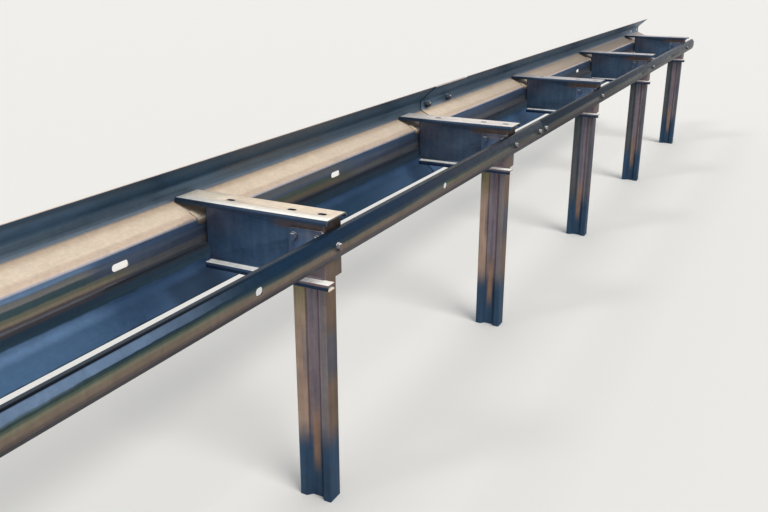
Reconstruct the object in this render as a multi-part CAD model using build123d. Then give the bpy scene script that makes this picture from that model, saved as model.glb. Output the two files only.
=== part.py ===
from build123d import *
from math import atan2, copysign, cos, hypot, pi, sin, tan
import os

# Highway guardrail section: two rail lengths, which are six bays, on folded steel posts.
# +X runs along the road, +Y points to the road and +Z up. The ground is at Z = 0.
# The origin is on the foot of the second post, in the middle of the floor of its groove.

# Flats that stand for a round bolt hole and for a tight bend
hole_sides = 8
bend_flats = 3

# Bays and rail lengths
post_count = 6
posts_per_rail = 3
rail_count = 2
rail_pitch = 4000.0
slot_grid = 1000.0
grid_clearance = 110.0

# Sigma post, folded from one strip
post_height = 795.0
post_depth = 100.0
post_width = 53.0
post_wall = 4.0
post_lip = 16.0
post_bend = 6.0
groove_depth = 14.0
groove_floor = 33.0
groove_mouth = 58.0
groove_bend = 5.0

# Front rail, a two-wave beam
rail_wall = 3.0
rail_drop = 83.0
rail_valley_gap = 372.0
rail_wave_depth = 82.0
rail_half_valley = 38.0
rail_peak_inner = 76.0
rail_peak_outer = 118.0
rail_half_height = 181.5
rail_edge_depth = 13.0
rail_bend = 16.0
lap_length = 320.0
joggle_length = 30.0
lap_gap = 0.2

# Slots and bolt holes of the front rail
slot_length = 54.0
slot_height = 18.0
lap_bolt_spacing = 216.0
lap_hole_length = 30.0
lap_hole_height = 18.0

# Bracket between post and front rail, folded from one sheet
bracket_wall = 4.0
bracket_bend = 7.0
bracket_rise = 33.0
bracket_height = 162.0
bracket_top_width = 44.0
bracket_foot_width = 31.0
bracket_foot_channel = 17.0
foot_channel_bend = 5.5
foot_end_setback = 18.0
foot_overhang = 28.0
rail_flange_width = 60.0
rail_flange_bend = 9.0
rail_flange_slot_length = 30.0
tab_width = 32.0
tab_gap = 0.2
tab_reach = 26.0
tab_tail = 15.0
field_flange_width = 78.0
field_flange_bevel = 50.0

# Bolts of the bracket on the post
post_bolt_spacing = 70.0
post_bolt_depth = 23.0
m12_hole = 14.0
washer_plate_width = 105.0
washer_plate_height = 84.0
washer_plate_wall = 4.0
washer_plate_corner = 6.0

# Top strap, an inverted channel
strap_wall = 4.0
strap_width = 101.0
strap_lip = 13.0
strap_bend = 6.0
strap_rail_clearance = 10.0
strap_overhang = 26.0
strap_slot_length = 24.0
strap_slot_width = 14.0
strap_slot_places = (246.0, 55.0, -34.0)

# Rear rail, a shallow round channel
rear_wall = 3.0
rear_drop = 74.0
rear_height = 77.0
rear_depth = 25.0
rear_shoulder = 14.0
rear_shoulder_bend = 9.0
rear_crest_half = 19.0
rear_crest_bend = 24.0
rear_slot_length = 26.0
rear_slot_height = 18.0
rear_end_hole = 40.0
rear_joint_gap = 2.0
sleeve_length = 200.0
sleeve_gap = 0.2

# Planes that the pieces share
post_spacing = rail_pitch / posts_per_rail
near_x = -(groove_depth + post_wall / 2)
open_x = near_x + post_width
web_x = near_x - bracket_wall / 2
field_face_y = -post_depth / 2
field_flange_y = field_face_y - bracket_wall / 2
rear_back_y = field_face_y - bracket_wall
rail_valley_y = field_face_y + rail_valley_gap
first_splice_x = -post_spacing - slot_grid
flange_centre_x = near_x - bracket_wall + bracket_top_width / 2
flange_bolt_x = web_x + rail_flange_width / 2
bracket_top = post_height + bracket_rise
bracket_foot = bracket_top - bracket_height
rail_centre_height = bracket_top - rail_drop
rear_centre_height = bracket_top - rear_drop
post_bolt_height = post_height - post_bolt_depth


def post_places():
    """X of the middle of each post's groove."""
    return [(index - 1) * post_spacing for index in range(post_count)]


def unit(start, end):
    """Unit vector from one point to another."""
    run = hypot(end[0] - start[0], end[1] - start[1])
    return (end[0] - start[0]) / run, (end[1] - start[1]) / run


def parallel(points, distance):
    """Corner points of the path that runs at a distance to the left of the given path."""
    runs = [unit(points[i], points[i + 1]) for i in range(len(points) - 1)]
    result = []
    for i, (x, y) in enumerate(points):
        before = runs[max(i - 1, 0)]
        after = runs[min(i, len(runs) - 1)]
        share = distance / (1 + before[0] * after[0] + before[1] * after[1])
        result.append((x - (before[1] + after[1]) * share, y + (before[0] + after[0]) * share))
    return result


def bend_radii(points, radii, distance):
    """Radii of the parallel path: smaller where it turns towards its own side."""
    result = []
    for i, radius in enumerate(radii):
        before = unit(points[i], points[i + 1])
        after = unit(points[i + 1], points[i + 2])
        turns_left = before[0] * after[1] - before[1] * after[0] > 0
        result.append(radius - distance if turns_left else radius + distance)
    return result


def sheet_profile(points, radii, low, high):
    """Section of a rolled sheet between two parallels of its middle line, with true arcs."""
    one = FilletPolyline(*parallel(points, low), radius=bend_radii(points, radii, low))
    two = FilletPolyline(*parallel(points, high), radius=bend_radii(points, radii, high))
    ends = [Edge.make_line(one @ 0, two @ 0), Edge.make_line(one @ 1, two @ 1)]
    return make_face([*one.edges(), *two.edges(), *ends])


def fold_path(points, radii):
    """Points of a path whose corners are laid out in a few flats."""
    path = [points[0]]
    for i, radius in enumerate(radii):
        before = unit(points[i], points[i + 1])
        after = unit(points[i + 1], points[i + 2])
        turn = atan2(before[0] * after[1] - before[1] * after[0], before[0] * after[0] + before[1] * after[1])
        reach = radius * tan(abs(turn) / 2)
        side = copysign(radius, turn)
        start = (points[i + 1][0] - before[0] * reach, points[i + 1][1] - before[1] * reach)
        centre = (start[0] - before[1] * side, start[1] + before[0] * side)
        for step in range(bend_flats + 1):
            angle = turn * step / bend_flats
            arm = (before[1] * side, -before[0] * side)
            x = centre[0] + arm[0] * cos(angle) - arm[1] * sin(angle)
            y = centre[1] + arm[0] * sin(angle) + arm[1] * cos(angle)
            path.append((x, y))
    return path + [points[-1]]


def fold_profile(points, radii, low, high):
    """Section of a press-folded sheet between two parallels of its middle line."""
    one = fold_path(parallel(points, low), bend_radii(points, radii, low))
    two = fold_path(parallel(points, high), bend_radii(points, radii, high))
    return make_face(Polyline(*one, *reversed(two), close=True))


def along_x(profile, start, length):
    """Runs a (Y, Z) profile along X."""
    return extrude(Plane.YZ.offset(start) * profile, amount=length)


def along_y(profile, start, end):
    """Runs an (X, Z) profile along Y."""
    plane = Plane(origin=(0, end, 0), x_dir=(1, 0, 0), z_dir=(0, -1, 0))
    return extrude(plane * profile, amount=end - start)


def along_z(profile, start, end):
    """Runs an (X, Y) profile up Z."""
    return extrude(Plane.XY.offset(start) * profile, amount=end - start)


def bolt_outline(length, width):
    """Round hole, or slot along its first axis, drawn with a few flats."""
    run = (length - width) / 2
    reach = width / 2 / cos(pi / hole_sides)
    points = []
    for index in range(hole_sides):
        angle = (2 * index + 1) * pi / hole_sides
        points.append((reach * cos(angle) + copysign(run, cos(angle)), reach * sin(angle)))
    return make_face(Polyline(*points, close=True))


def slot_y(x, y, z, length, height, depth=40.0):
    """Cutter with true arcs for a hole or a slot along X through a plate that faces Y."""
    plane = Plane(origin=(x, y, z), x_dir=(1, 0, 0), z_dir=(0, 1, 0))
    outline = SlotOverall(length, height) if length > height else Circle(height / 2)
    return extrude(plane * outline, amount=depth / 2, both=True)


def hole_y(x, y, z, length, height, depth=40.0):
    """Cutter for a bolt hole through a plate that faces Y; long holes run along X."""
    plane = Plane(origin=(x, y, z), x_dir=(1, 0, 0), z_dir=(0, 1, 0))
    return extrude(plane * bolt_outline(length, height), amount=depth / 2, both=True)


def hole_x(y, z, x, diameter, depth=40.0):
    """Cutter for a round bolt hole through a plate that faces X."""
    plane = Plane(origin=(x, y, z), x_dir=(0, 1, 0), z_dir=(1, 0, 0))
    return extrude(plane * bolt_outline(diameter, diameter), amount=depth / 2, both=True)


def hole_z(x, y, z, length, width, depth=12.0):
    """Cutter for a bolt slot through a level plate; the slot runs along Y."""
    plane = Plane(origin=(x, y, z), x_dir=(0, 1, 0), z_dir=(0, 0, 1))
    return extrude(plane * bolt_outline(length, width), amount=depth / 2, both=True)


def sigma_post():
    """Channel with a groove pressed into its web and lips on its flanges."""
    side = post_depth / 2 - post_wall / 2
    web = near_x + post_wall / 2
    edge = open_x - post_wall / 2
    groove = web + groove_depth
    points = [
        (edge, side - post_lip),
        (edge, side),
        (web, side),
        (web, groove_mouth / 2),
        (groove, groove_floor / 2),
        (groove, -groove_floor / 2),
        (web, -groove_mouth / 2),
        (web, -side),
        (edge, -side),
        (edge, -side + post_lip),
    ]
    radii = [post_bend, post_bend, groove_bend, groove_bend, groove_bend, groove_bend, post_bend, post_bend]
    profile = fold_profile(points, radii, -post_wall / 2, post_wall / 2)
    post = along_z(profile, 0, post_height)
    for y in (-post_bolt_spacing / 2, post_bolt_spacing / 2):
        post -= hole_x(y, post_bolt_height, near_x, m12_hole, post_width)
    return post


def rail_profile(low, high):
    """Two-wave section in (Y, Z), open to the field side."""
    valley = rail_valley_y + rail_wall / 2
    peak = valley + rail_wave_depth
    half = [
        (valley + rail_edge_depth, rail_half_height),
        (peak, rail_peak_outer),
        (peak, rail_peak_inner),
        (valley, rail_half_valley),
    ]
    mirrored = [(y, -z) for y, z in reversed(half)]
    points = [(y, rail_centre_height + z) for y, z in half + mirrored]
    return sheet_profile(points, 6 * [rail_bend], low, high)


def front_rail(splice_x):
    """One rail length; its first end is set back so that it laps behind the rail before it."""
    half = rail_wall / 2
    set_back = rail_wall + lap_gap
    start = splice_x - lap_length / 2
    step = splice_x + lap_length / 2
    end = splice_x + rail_pitch + lap_length / 2
    plain = rail_profile(-half, half)
    behind = rail_profile(-half - set_back, half - set_back)
    body = along_x(plain, step + joggle_length, end - step - joggle_length)
    joggle = loft([Plane.YZ.offset(step) * behind, Plane.YZ.offset(step + joggle_length) * plain], ruled=True)
    rail = along_x(behind, start, step - start) + joggle + body
    for cutter in valley_slots(splice_x) + lap_holes(splice_x) + lap_holes(splice_x + rail_pitch):
        rail -= cutter
    return rail


def valley_slots(splice_x):
    """Slots on the metre grid of the rail and behind each bracket."""
    grid = [splice_x, splice_x + rail_pitch] + free_grid(splice_x)
    brackets = [x + flange_bolt_x for x in post_places() if splice_x < x < splice_x + rail_pitch]
    slots = [slot_y(x, rail_valley_y, rail_centre_height, slot_length, slot_height) for x in grid]
    length = rail_flange_slot_length
    return slots + [hole_y(x, rail_valley_y, rail_centre_height, length, slot_height) for x in brackets]


def lap_holes(splice_x):
    """Four holes of a lapped joint, on the crests of both waves."""
    crest = (rail_peak_inner + rail_peak_outer) / 2
    crest_y = rail_valley_y + rail_wave_depth
    return [
        slot_y(splice_x + dx, crest_y, rail_centre_height + dz, lap_hole_length, lap_hole_height)
        for dx in (-lap_bolt_spacing / 2, lap_bolt_spacing / 2)
        for dz in (-crest, crest)
    ]


def bracket():
    """Folded sheet: a web, level flanges top and bottom, and a flange at each end."""
    body = bracket_top_fold() + bracket_foot_fold() + bracket_web()
    body += rail_end_flange() + rail_tab() + field_end_flange()
    for y in (-post_bolt_spacing / 2, post_bolt_spacing / 2):
        body -= hole_x(y, post_bolt_height, web_x, m12_hole)
    for y in strap_slot_places:
        body -= hole_z(flange_centre_x, y, bracket_top, strap_slot_length, strap_slot_width)
    return body


def block(x_low, x_high, y_low, y_high, z_low, z_high):
    """Plain block between six planes."""
    size = Box(x_high - x_low, y_high - y_low, z_high - z_low, align=(Align.MIN, Align.MIN, Align.MIN))
    return Pos(x_low, y_low, z_low) * size


def bracket_middle():
    """Height at which the folds of the bracket meet in its web."""
    return (bracket_top + bracket_foot) / 2


def field_bend_start():
    """Y where the web starts to bend round the post."""
    return rear_back_y + bracket_bend + bracket_wall / 2


def rail_bend_start():
    """Y where the web starts to bend along the rail."""
    return rail_valley_y - rail_flange_bend - bracket_wall / 2


def bracket_web():
    """Lower half of the web, from the foot's end to the rail's valley."""
    half = bracket_wall / 2
    start = rail_valley_y - foot_end_setback
    low = bracket_foot - bracket_wall
    return block(web_x - half, web_x + half, start, rail_bend_start(), low, bracket_middle())


def bracket_top_fold():
    """Upper half of the web with the level flange under the strap."""
    half = bracket_wall / 2
    top_z = bracket_top - half
    edge = web_x + bracket_top_width - half
    points = [(web_x, bracket_middle()), (web_x, top_z), (edge, top_z)]
    fold = along_y(fold_profile(points, [bracket_bend], -half, half), field_bend_start(), rail_valley_y)
    relief = block(web_x - half, web_x + half, rail_bend_start(), rail_valley_y, bracket_middle(), flange_top())
    return fold - relief


def bracket_foot_fold():
    """Lower half of the web with the small channel along its foot, which runs on past the post."""
    half = bracket_wall / 2
    foot_z = bracket_foot - half
    low_z = bracket_foot - bracket_foot_channel + half
    edge = web_x - bracket_foot_width + half
    back = web_x - half
    rail_side = rail_valley_y - foot_end_setback
    web = [(web_x, bracket_middle()), (web_x, foot_z), (edge, foot_z)]
    channel = [(web_x, foot_z), (edge, foot_z), (edge, low_z), (back, low_z)]
    fold = along_y(fold_profile(web, [bracket_bend], -half, half), field_bend_start(), rail_side)
    bends = 2 * [foot_channel_bend]
    return fold + along_y(fold_profile(channel, bends, -half, half), field_face_y - foot_overhang, rail_side)


def flange_top():
    """Top of the rail flange, just under the bend into the bracket's level top."""
    return bracket_top - bracket_bend - bracket_wall


def rail_end_flange():
    """Flange flat on the valley of the front rail, turned behind the web."""
    half = bracket_wall / 2
    flange_y = rail_valley_y - half
    flange_edge = web_x - half + rail_flange_width
    points = [(web_x, rail_bend_start() - rail_flange_bend), (web_x, flange_y), (flange_edge, flange_y)]
    profile = fold_profile(points, [rail_flange_bend], -half, half)
    flange = along_z(profile, rail_centre_height - rail_half_valley, flange_top())
    return flange - hole_y(flange_bolt_x, flange_y, rail_centre_height, rail_flange_slot_length, slot_height)


def rail_tab():
    """Tab on the near side of the web, bent over the foot of the rail's upper slope into its valley."""
    valley = rail_valley_y + rail_wall / 2
    corner = rail_centre_height + rail_half_valley
    slope = (rail_peak_inner - rail_half_valley) / rail_wave_depth
    points = [(valley + tab_reach, corner + tab_reach * slope), (valley, corner), (valley, corner - tab_tail)]
    near = -rail_wall / 2 - tab_gap
    low_x = web_x + bracket_wall / 2 - tab_width
    return along_x(sheet_profile(points, [rail_bend], near - bracket_wall, near), low_x, tab_width)


def field_end_flange():
    """Flange on the field face of the post that carries the rear rail, bevelled at its top."""
    half = bracket_wall / 2
    far_x = web_x - half + field_flange_width
    around = [(web_x, field_bend_start() + bracket_bend), (web_x, field_flange_y), (far_x, field_flange_y)]
    flange = along_z(fold_profile(around, [bracket_bend], -half, half), bracket_foot - bracket_wall, bracket_top)
    start_x = near_x + bracket_bend
    bevel = [(start_x, bracket_top), (far_x, bracket_top), (far_x, bracket_top - field_flange_bevel)]
    flange -= along_y(make_face(Polyline(*bevel, close=True)), rear_back_y, field_face_y)
    return flange - hole_y(0, field_flange_y, rear_centre_height, m12_hole, m12_hole)


def washer_plate():
    """Plate under the heads of the two post bolts, flush with the top of the post."""
    outline = chamfer(Rectangle(washer_plate_width, washer_plate_height).vertices(), washer_plate_corner)
    centre_z = post_height - washer_plate_height / 2
    front_x = web_x - bracket_wall / 2 - washer_plate_wall
    plane = Plane(origin=(front_x, 0, centre_z), x_dir=(0, 1, 0), z_dir=(1, 0, 0))
    plate = extrude(plane * outline, amount=washer_plate_wall)
    for y in (-post_bolt_spacing / 2, post_bolt_spacing / 2):
        plate -= hole_x(y, post_bolt_height, front_x, m12_hole)
    return plate


def top_strap():
    """Inverted channel over the bracket that reaches into the upper wave of the front rail."""
    half = strap_wall / 2
    top_z = bracket_top + half
    side = strap_width / 2 - half
    low_z = bracket_top + strap_wall - strap_lip
    points = [(-side, low_z), (-side, top_z), (side, top_z), (side, low_z)]
    points = [(flange_centre_x + x, z) for x, z in points]
    rail_end = rail_valley_y + rail_wave_depth - strap_rail_clearance
    field_end = field_face_y - strap_overhang
    strap = along_y(fold_profile(points, 2 * [strap_bend], -half, half), field_end, rail_end)
    for y in strap_slot_places:
        strap -= hole_z(flange_centre_x, y, top_z, strap_slot_length, strap_slot_width)
    return strap


def rear_profile(low, high):
    """Shallow round channel in (Y, Z), open to the posts."""
    edge = rear_back_y
    crest = rear_back_y - rear_depth
    top = rear_height / 2
    half = [(edge, top), (edge - rear_shoulder, top), (crest, rear_crest_half)]
    points = half + [(y, -z) for y, z in reversed(half)]
    points = [(y, rear_centre_height + z) for y, z in points]
    bends = [rear_shoulder_bend, rear_crest_bend, rear_crest_bend, rear_shoulder_bend]
    return sheet_profile(points, bends, low, high)


def rear_rail(index):
    """One length of the rear rail, with a bolt hole at each end, bracket and metre of its grid."""
    start = first_splice_x + index * rail_pitch + rear_joint_gap / 2
    end = start + rail_pitch - rear_joint_gap
    rail = along_x(rear_profile(0, rear_wall), start, end - start)
    crest_y = rear_back_y - rear_depth
    for x in (start - rear_joint_gap / 2 + rear_end_hole, end + rear_joint_gap / 2 - rear_end_hole):
        rail -= slot_y(x, crest_y, rear_centre_height, m12_hole, m12_hole)
    for x in post_places():
        if start < x < end:
            rail -= hole_y(x, crest_y, rear_centre_height, m12_hole, m12_hole)
    for x in free_grid(start):
        rail -= slot_y(x, crest_y, rear_centre_height, rear_slot_length, rear_slot_height)
    return rail


def free_grid(splice_x):
    """Places of the metre grid between the ends of a rail where no post stands."""
    grid = [splice_x + (index + 1) * slot_grid for index in range(posts_per_rail)]
    return [x for x in grid if min(abs(x - post) for post in post_places()) > grid_clearance]


def rear_sleeve(splice_x):
    """Inner channel that joins two lengths of the rear rail."""
    low = rear_wall + sleeve_gap
    sleeve = along_x(rear_profile(low, low + rear_wall), splice_x - sleeve_length / 2, sleeve_length)
    for x in (splice_x - rear_end_hole, splice_x + rear_end_hole):
        sleeve -= hole_y(x, rear_back_y, rear_centre_height, m12_hole, m12_hole)
    return sleeve


def pieces():
    """Every piece of the section by its name."""
    result = {}
    for index in range(rail_count):
        result[f"front_rail_{index + 1}"] = front_rail(first_splice_x + index * rail_pitch)
        result[f"rear_rail_{index + 1}"] = rear_rail(index)
    for index in range(1, rail_count):
        result[f"rear_sleeve_{index}"] = rear_sleeve(first_splice_x + index * rail_pitch)
    at_each_post = {
        "post": sigma_post(),
        "bracket": bracket(),
        "washer_plate": washer_plate(),
        "top_strap": top_strap(),
    }
    for index, x in enumerate(post_places()):
        for name, piece in at_each_post.items():
            result[f"{name}_{index + 1}"] = Pos(x, 0, 0) * piece
    return result


def main():
    os.makedirs("parts", exist_ok=True)
    for name, piece in pieces().items():
        export_step(piece, f"parts/{name}.step")


main()
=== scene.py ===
import math

import bmesh
import bpy
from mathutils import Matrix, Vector


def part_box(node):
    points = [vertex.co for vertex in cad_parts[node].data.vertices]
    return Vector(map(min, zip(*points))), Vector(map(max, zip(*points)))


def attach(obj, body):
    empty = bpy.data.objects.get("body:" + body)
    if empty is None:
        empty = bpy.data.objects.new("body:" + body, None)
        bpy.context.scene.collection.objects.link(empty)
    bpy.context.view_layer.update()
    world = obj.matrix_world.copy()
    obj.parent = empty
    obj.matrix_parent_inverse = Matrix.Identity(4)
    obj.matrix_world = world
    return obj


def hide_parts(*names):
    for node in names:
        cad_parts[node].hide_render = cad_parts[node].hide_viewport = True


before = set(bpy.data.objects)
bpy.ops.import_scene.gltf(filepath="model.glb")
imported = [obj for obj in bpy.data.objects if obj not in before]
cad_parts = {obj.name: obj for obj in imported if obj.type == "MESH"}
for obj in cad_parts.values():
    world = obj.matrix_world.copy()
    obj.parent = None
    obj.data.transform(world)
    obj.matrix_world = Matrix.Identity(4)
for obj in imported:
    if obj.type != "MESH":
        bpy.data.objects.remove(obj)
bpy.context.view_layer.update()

# Post: a sigma section, rolled from 4 mm strip with a groove along its web and a lip on each flange,
# then hot-dip galvanised. It is driven in at the foot and carries everything else.
mm = 0.001
post_count = len([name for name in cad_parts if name.startswith("post_")])
post_depth = 100 * mm
post_width = 53 * mm
post_wall = 4 * mm
post_lip = 16 * mm
post_bend = 6 * mm
groove_depth = 14 * mm
groove_floor = 33 * mm
groove_mouth = 58 * mm
groove_bend = 5 * mm
post_near_x = -(groove_depth + post_wall / 2)
post_open_x = post_near_x + post_width
post_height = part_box("post_1")[1][2]
post_places = [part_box(f"post_{index + 1}")[0][0] - post_near_x for index in range(post_count)]


def srgb(red, green, blue):
    """Scene colour of a paint chart value from 0 to 255."""
    def linear(value):
        value /= 255
        return value / 12.92 if value <= 0.04045 else ((value + 0.055) / 1.055) ** 2.4
    return linear(red), linear(green), linear(blue), 1.0


def direction(start, end):
    run = math.hypot(end[0] - start[0], end[1] - start[1])
    return (end[0] - start[0]) / run, (end[1] - start[1]) / run


def side_line(points, distance):
    """Corner points of the path that runs beside the given one, to its left."""
    runs = [direction(points[i], points[i + 1]) for i in range(len(points) - 1)]
    line = []
    for i, (u, v) in enumerate(points):
        before = runs[max(i - 1, 0)]
        after = runs[min(i, len(runs) - 1)]
        share = distance / (1 + before[0] * after[0] + before[1] * after[1])
        line.append((u - (before[1] + after[1]) * share, v + (before[0] + after[0]) * share))
    return line


def bent(points, radii, distance, steps):
    """The path beside the given one with each corner turned into an arc."""
    corners = side_line(points, distance)
    line = [corners[0]]
    for i, radius in enumerate(radii):
        before = direction(points[i], points[i + 1])
        after = direction(points[i + 1], points[i + 2])
        turn = math.atan2(before[0] * after[1] - before[1] * after[0], before[0] * after[0] + before[1] * after[1])
        arc = radius - math.copysign(distance, turn)
        reach = arc * math.tan(abs(turn) / 2)
        u, v = corners[i + 1]
        side = math.copysign(arc, turn)
        centre = (u - before[0] * reach - before[1] * side, v - before[1] * reach + before[0] * side)
        arm = (before[1] * side, -before[0] * side)
        for step in range(steps + 1):
            angle = turn * step / steps
            line.append((
                centre[0] + arm[0] * math.cos(angle) - arm[1] * math.sin(angle),
                centre[1] + arm[0] * math.sin(angle) + arm[1] * math.cos(angle),
            ))
    return line + [corners[-1]]


def sheet_section(points, radii, wall, shift=0.0, steps=8):
    """Closed outline of a folded sheet whose middle runs along the given corners."""
    one = bent(points, radii, shift - wall / 2, steps)
    two = bent(points, radii, shift + wall / 2, steps)
    return one + two[::-1]


axis_maps = {
    "x": lambda u, v, w: (w, u, v),
    "y": lambda u, v, w: (u, w, v),
    "z": lambda u, v, w: (u, v, w),
}


def rolled(axis, *stations):
    """Mesh of a section run along an axis, from a place and an outline at each station."""
    shape = bmesh.new()
    place = axis_maps[axis]
    rings = [[shape.verts.new(place(u, v, w)) for u, v in outline] for w, outline in stations]
    count = len(rings[0])
    for near, far in zip(rings, rings[1:]):
        for i in range(count):
            shape.faces.new((near[i], near[(i + 1) % count], far[(i + 1) % count], far[i]))
    for ring in (rings[0], rings[-1]):
        for i in range(count // 2 - 1):
            shape.faces.new((ring[i], ring[i + 1], ring[count - 2 - i], ring[count - 1 - i]))
    bmesh.ops.recalc_face_normals(shape, faces=shape.faces)
    return shape


def slot_outline(u, v, length, width, steps=10):
    """Outline of a round-ended slot that runs along the first axis, or of a round hole."""
    run = (length - width) / 2
    angles = [math.pi * ((i + 0.5) / steps - 0.5) for i in range(2 * steps)]
    return [
        (u + math.copysign(run, math.cos(a)) + width / 2 * math.cos(a), v + width / 2 * math.sin(a)) for a in angles
    ]


def cut(axis, at, outline, reach=9 * mm):
    """Tool that cuts an outline through sheet, as far to each side of a place as it reaches."""
    return rolled(axis, (at - reach, outline), (at + reach, outline))


def joined(shapes):
    """One mesh of several that lie apart."""
    whole = bmesh.new()
    for shape in shapes:
        part = bpy.data.meshes.new("part")
        shape.to_mesh(part)
        shape.free()
        whole.from_mesh(part)
        bpy.data.meshes.remove(part)
    return whole


def stock(name, shape):
    mesh = bpy.data.meshes.new(name)
    shape.to_mesh(mesh)
    shape.free()
    made = bpy.data.objects.new(name, mesh)
    bpy.context.scene.collection.objects.link(made)
    return made


def piece(name, shapes, finish, holes=(), edge=0.6 * mm, angle=35):
    """Piece of sheet: its forms are welded together, its holes are cut and its edges broken.

    The finished mesh is validated, because a face doubled in a weld spoils the pieces that share it.
    """
    made = stock(name, shapes[0])
    steps = [("UNION", stock("form", shape)) for shape in shapes[1:]]
    if holes:
        steps.append(("DIFFERENCE", stock("holes", joined(holes))))
    for operation, other in steps:
        change = made.modifiers.new("cut", "BOOLEAN")
        change.operation = operation
        change.object = other
        change.solver = "EXACT"
    if steps:
        plain = made.modifiers.new("plain", "DECIMATE")
        plain.decimate_type = "DISSOLVE"
        plain.angle_limit = math.radians(1)
    if edge:
        broken = made.modifiers.new("edge", "BEVEL")
        broken.width = edge
        broken.segments = 2
        broken.limit_method = "ANGLE"
        broken.angle_limit = math.radians(angle)
    ready = bpy.data.meshes.new_from_object(made.evaluated_get(bpy.context.evaluated_depsgraph_get()))
    made.modifiers.clear()
    made.data = ready
    ready.name = name
    ready.validate()
    ready.materials.clear()
    ready.materials.append(finish)
    for polygon in ready.polygons:
        polygon.use_smooth = True
    ready.set_sharp_from_angle(angle=math.radians(angle))
    for operation, other in steps:
        bpy.data.objects.remove(other)
    return made


def at_each_post(master, name, node=None):
    """Sets a like piece at every post, in place of its CAD node where it has one."""
    for index, x in enumerate(post_places):
        made = bpy.data.objects.new(f"{name}_{index + 1}", master.data)
        made.location = (x, 0, 0)
        bpy.context.scene.collection.objects.link(made)
        if node:
            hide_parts(f"{node}_{index + 1}")
        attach(made, "root")
    bpy.data.objects.remove(master)


def build_zinc():
    """Weathered zinc over a given colour: clouds, runs of rain, crystals and fine grain."""
    group = bpy.data.node_groups.new("weathered_zinc", "ShaderNodeTree")
    for label, kind, value in (
        ("Color", "NodeSocketColor", (0.3, 0.3, 0.3, 1)),
        ("Roughness", "NodeSocketFloat", 0.42),
        ("Mottle", "NodeSocketFloat", 0.5),
        ("Streaks", "NodeSocketFloat", 0.4),
    ):
        group.interface.new_socket(label, in_out="INPUT", socket_type=kind).default_value = value
    for label, kind in (("Color", "NodeSocketColor"), ("Roughness", "NodeSocketFloat"), ("Height", "NodeSocketFloat")):
        group.interface.new_socket(label, in_out="OUTPUT", socket_type=kind)
    nodes, links = group.nodes, group.links

    def noise(scale, detail, roughness=0.5, stretch=None):
        node = nodes.new("ShaderNodeTexNoise")
        start = where.outputs["Position"]
        if stretch:
            squeeze = nodes.new("ShaderNodeMapping")
            squeeze.inputs["Scale"].default_value = stretch
            links.new(start, squeeze.inputs["Vector"])
            start = squeeze.outputs[0]
        links.new(start, node.inputs["Vector"])
        node.inputs["Scale"].default_value = scale
        node.inputs["Detail"].default_value = detail
        node.inputs["Roughness"].default_value = roughness
        return math_node("SUBTRACT", node.outputs["Fac"], 0.5)

    def varied(start, value, share):
        """The start value, raised or lowered by a share of the other."""
        return math_node("MULTIPLY_ADD", value, share, start)

    def math_node(operation, *values):
        node = nodes.new("ShaderNodeMath")
        node.operation = operation
        for socket, value in zip(node.inputs, values):
            if isinstance(value, bpy.types.NodeSocket):
                links.new(value, socket)
            else:
                socket.default_value = value
        return node.outputs[0]

    given = nodes.new("NodeGroupInput").outputs
    where = nodes.new("ShaderNodeNewGeometry")
    cloud = noise(scale=14, detail=6, roughness=0.62)
    streak = noise(scale=1, detail=4, roughness=0.55, stretch=(60, 60, 4))
    speck = noise(scale=420, detail=3)
    scratch = noise(scale=1, detail=3, roughness=0.6, stretch=(6, 260, 260))
    spangle = nodes.new("ShaderNodeTexVoronoi")
    links.new(where.outputs["Position"], spangle.inputs["Vector"])
    spangle.inputs["Scale"].default_value = 120
    crystals = nodes.new("ShaderNodeSeparateColor")
    links.new(spangle.outputs["Color"], crystals.inputs[0])
    crystal = math_node("SUBTRACT", crystals.outputs[0], 0.5)
    darkest = 0.25
    level = varied(1.0, math_node("MULTIPLY", cloud, given["Mottle"]), 1.5)
    level = varied(level, math_node("MULTIPLY", streak, given["Streaks"]), 1.4)
    level = varied(level, speck, 0.16)
    level = varied(level, scratch, 0.14)
    level = varied(level, crystal, 0.09)
    level = math_node("MAXIMUM", level, darkest)
    tone = nodes.new("ShaderNodeVectorMath")
    tone.operation = "SCALE"
    links.new(given["Color"], tone.inputs[0])
    links.new(level, tone.inputs["Scale"])
    rough = varied(varied(given["Roughness"], cloud, 0.35), crystal, 0.08)
    height = varied(math_node("MULTIPLY", speck, 0.5), crystal, 0.3)
    height = varied(height, cloud, 1.2)
    leaving = nodes.new("NodeGroupOutput").inputs
    links.new(tone.outputs[0], leaving["Color"])
    links.new(rough, leaving["Roughness"])
    links.new(height, leaving["Height"])
    return group


weathered_zinc = build_zinc()


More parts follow.
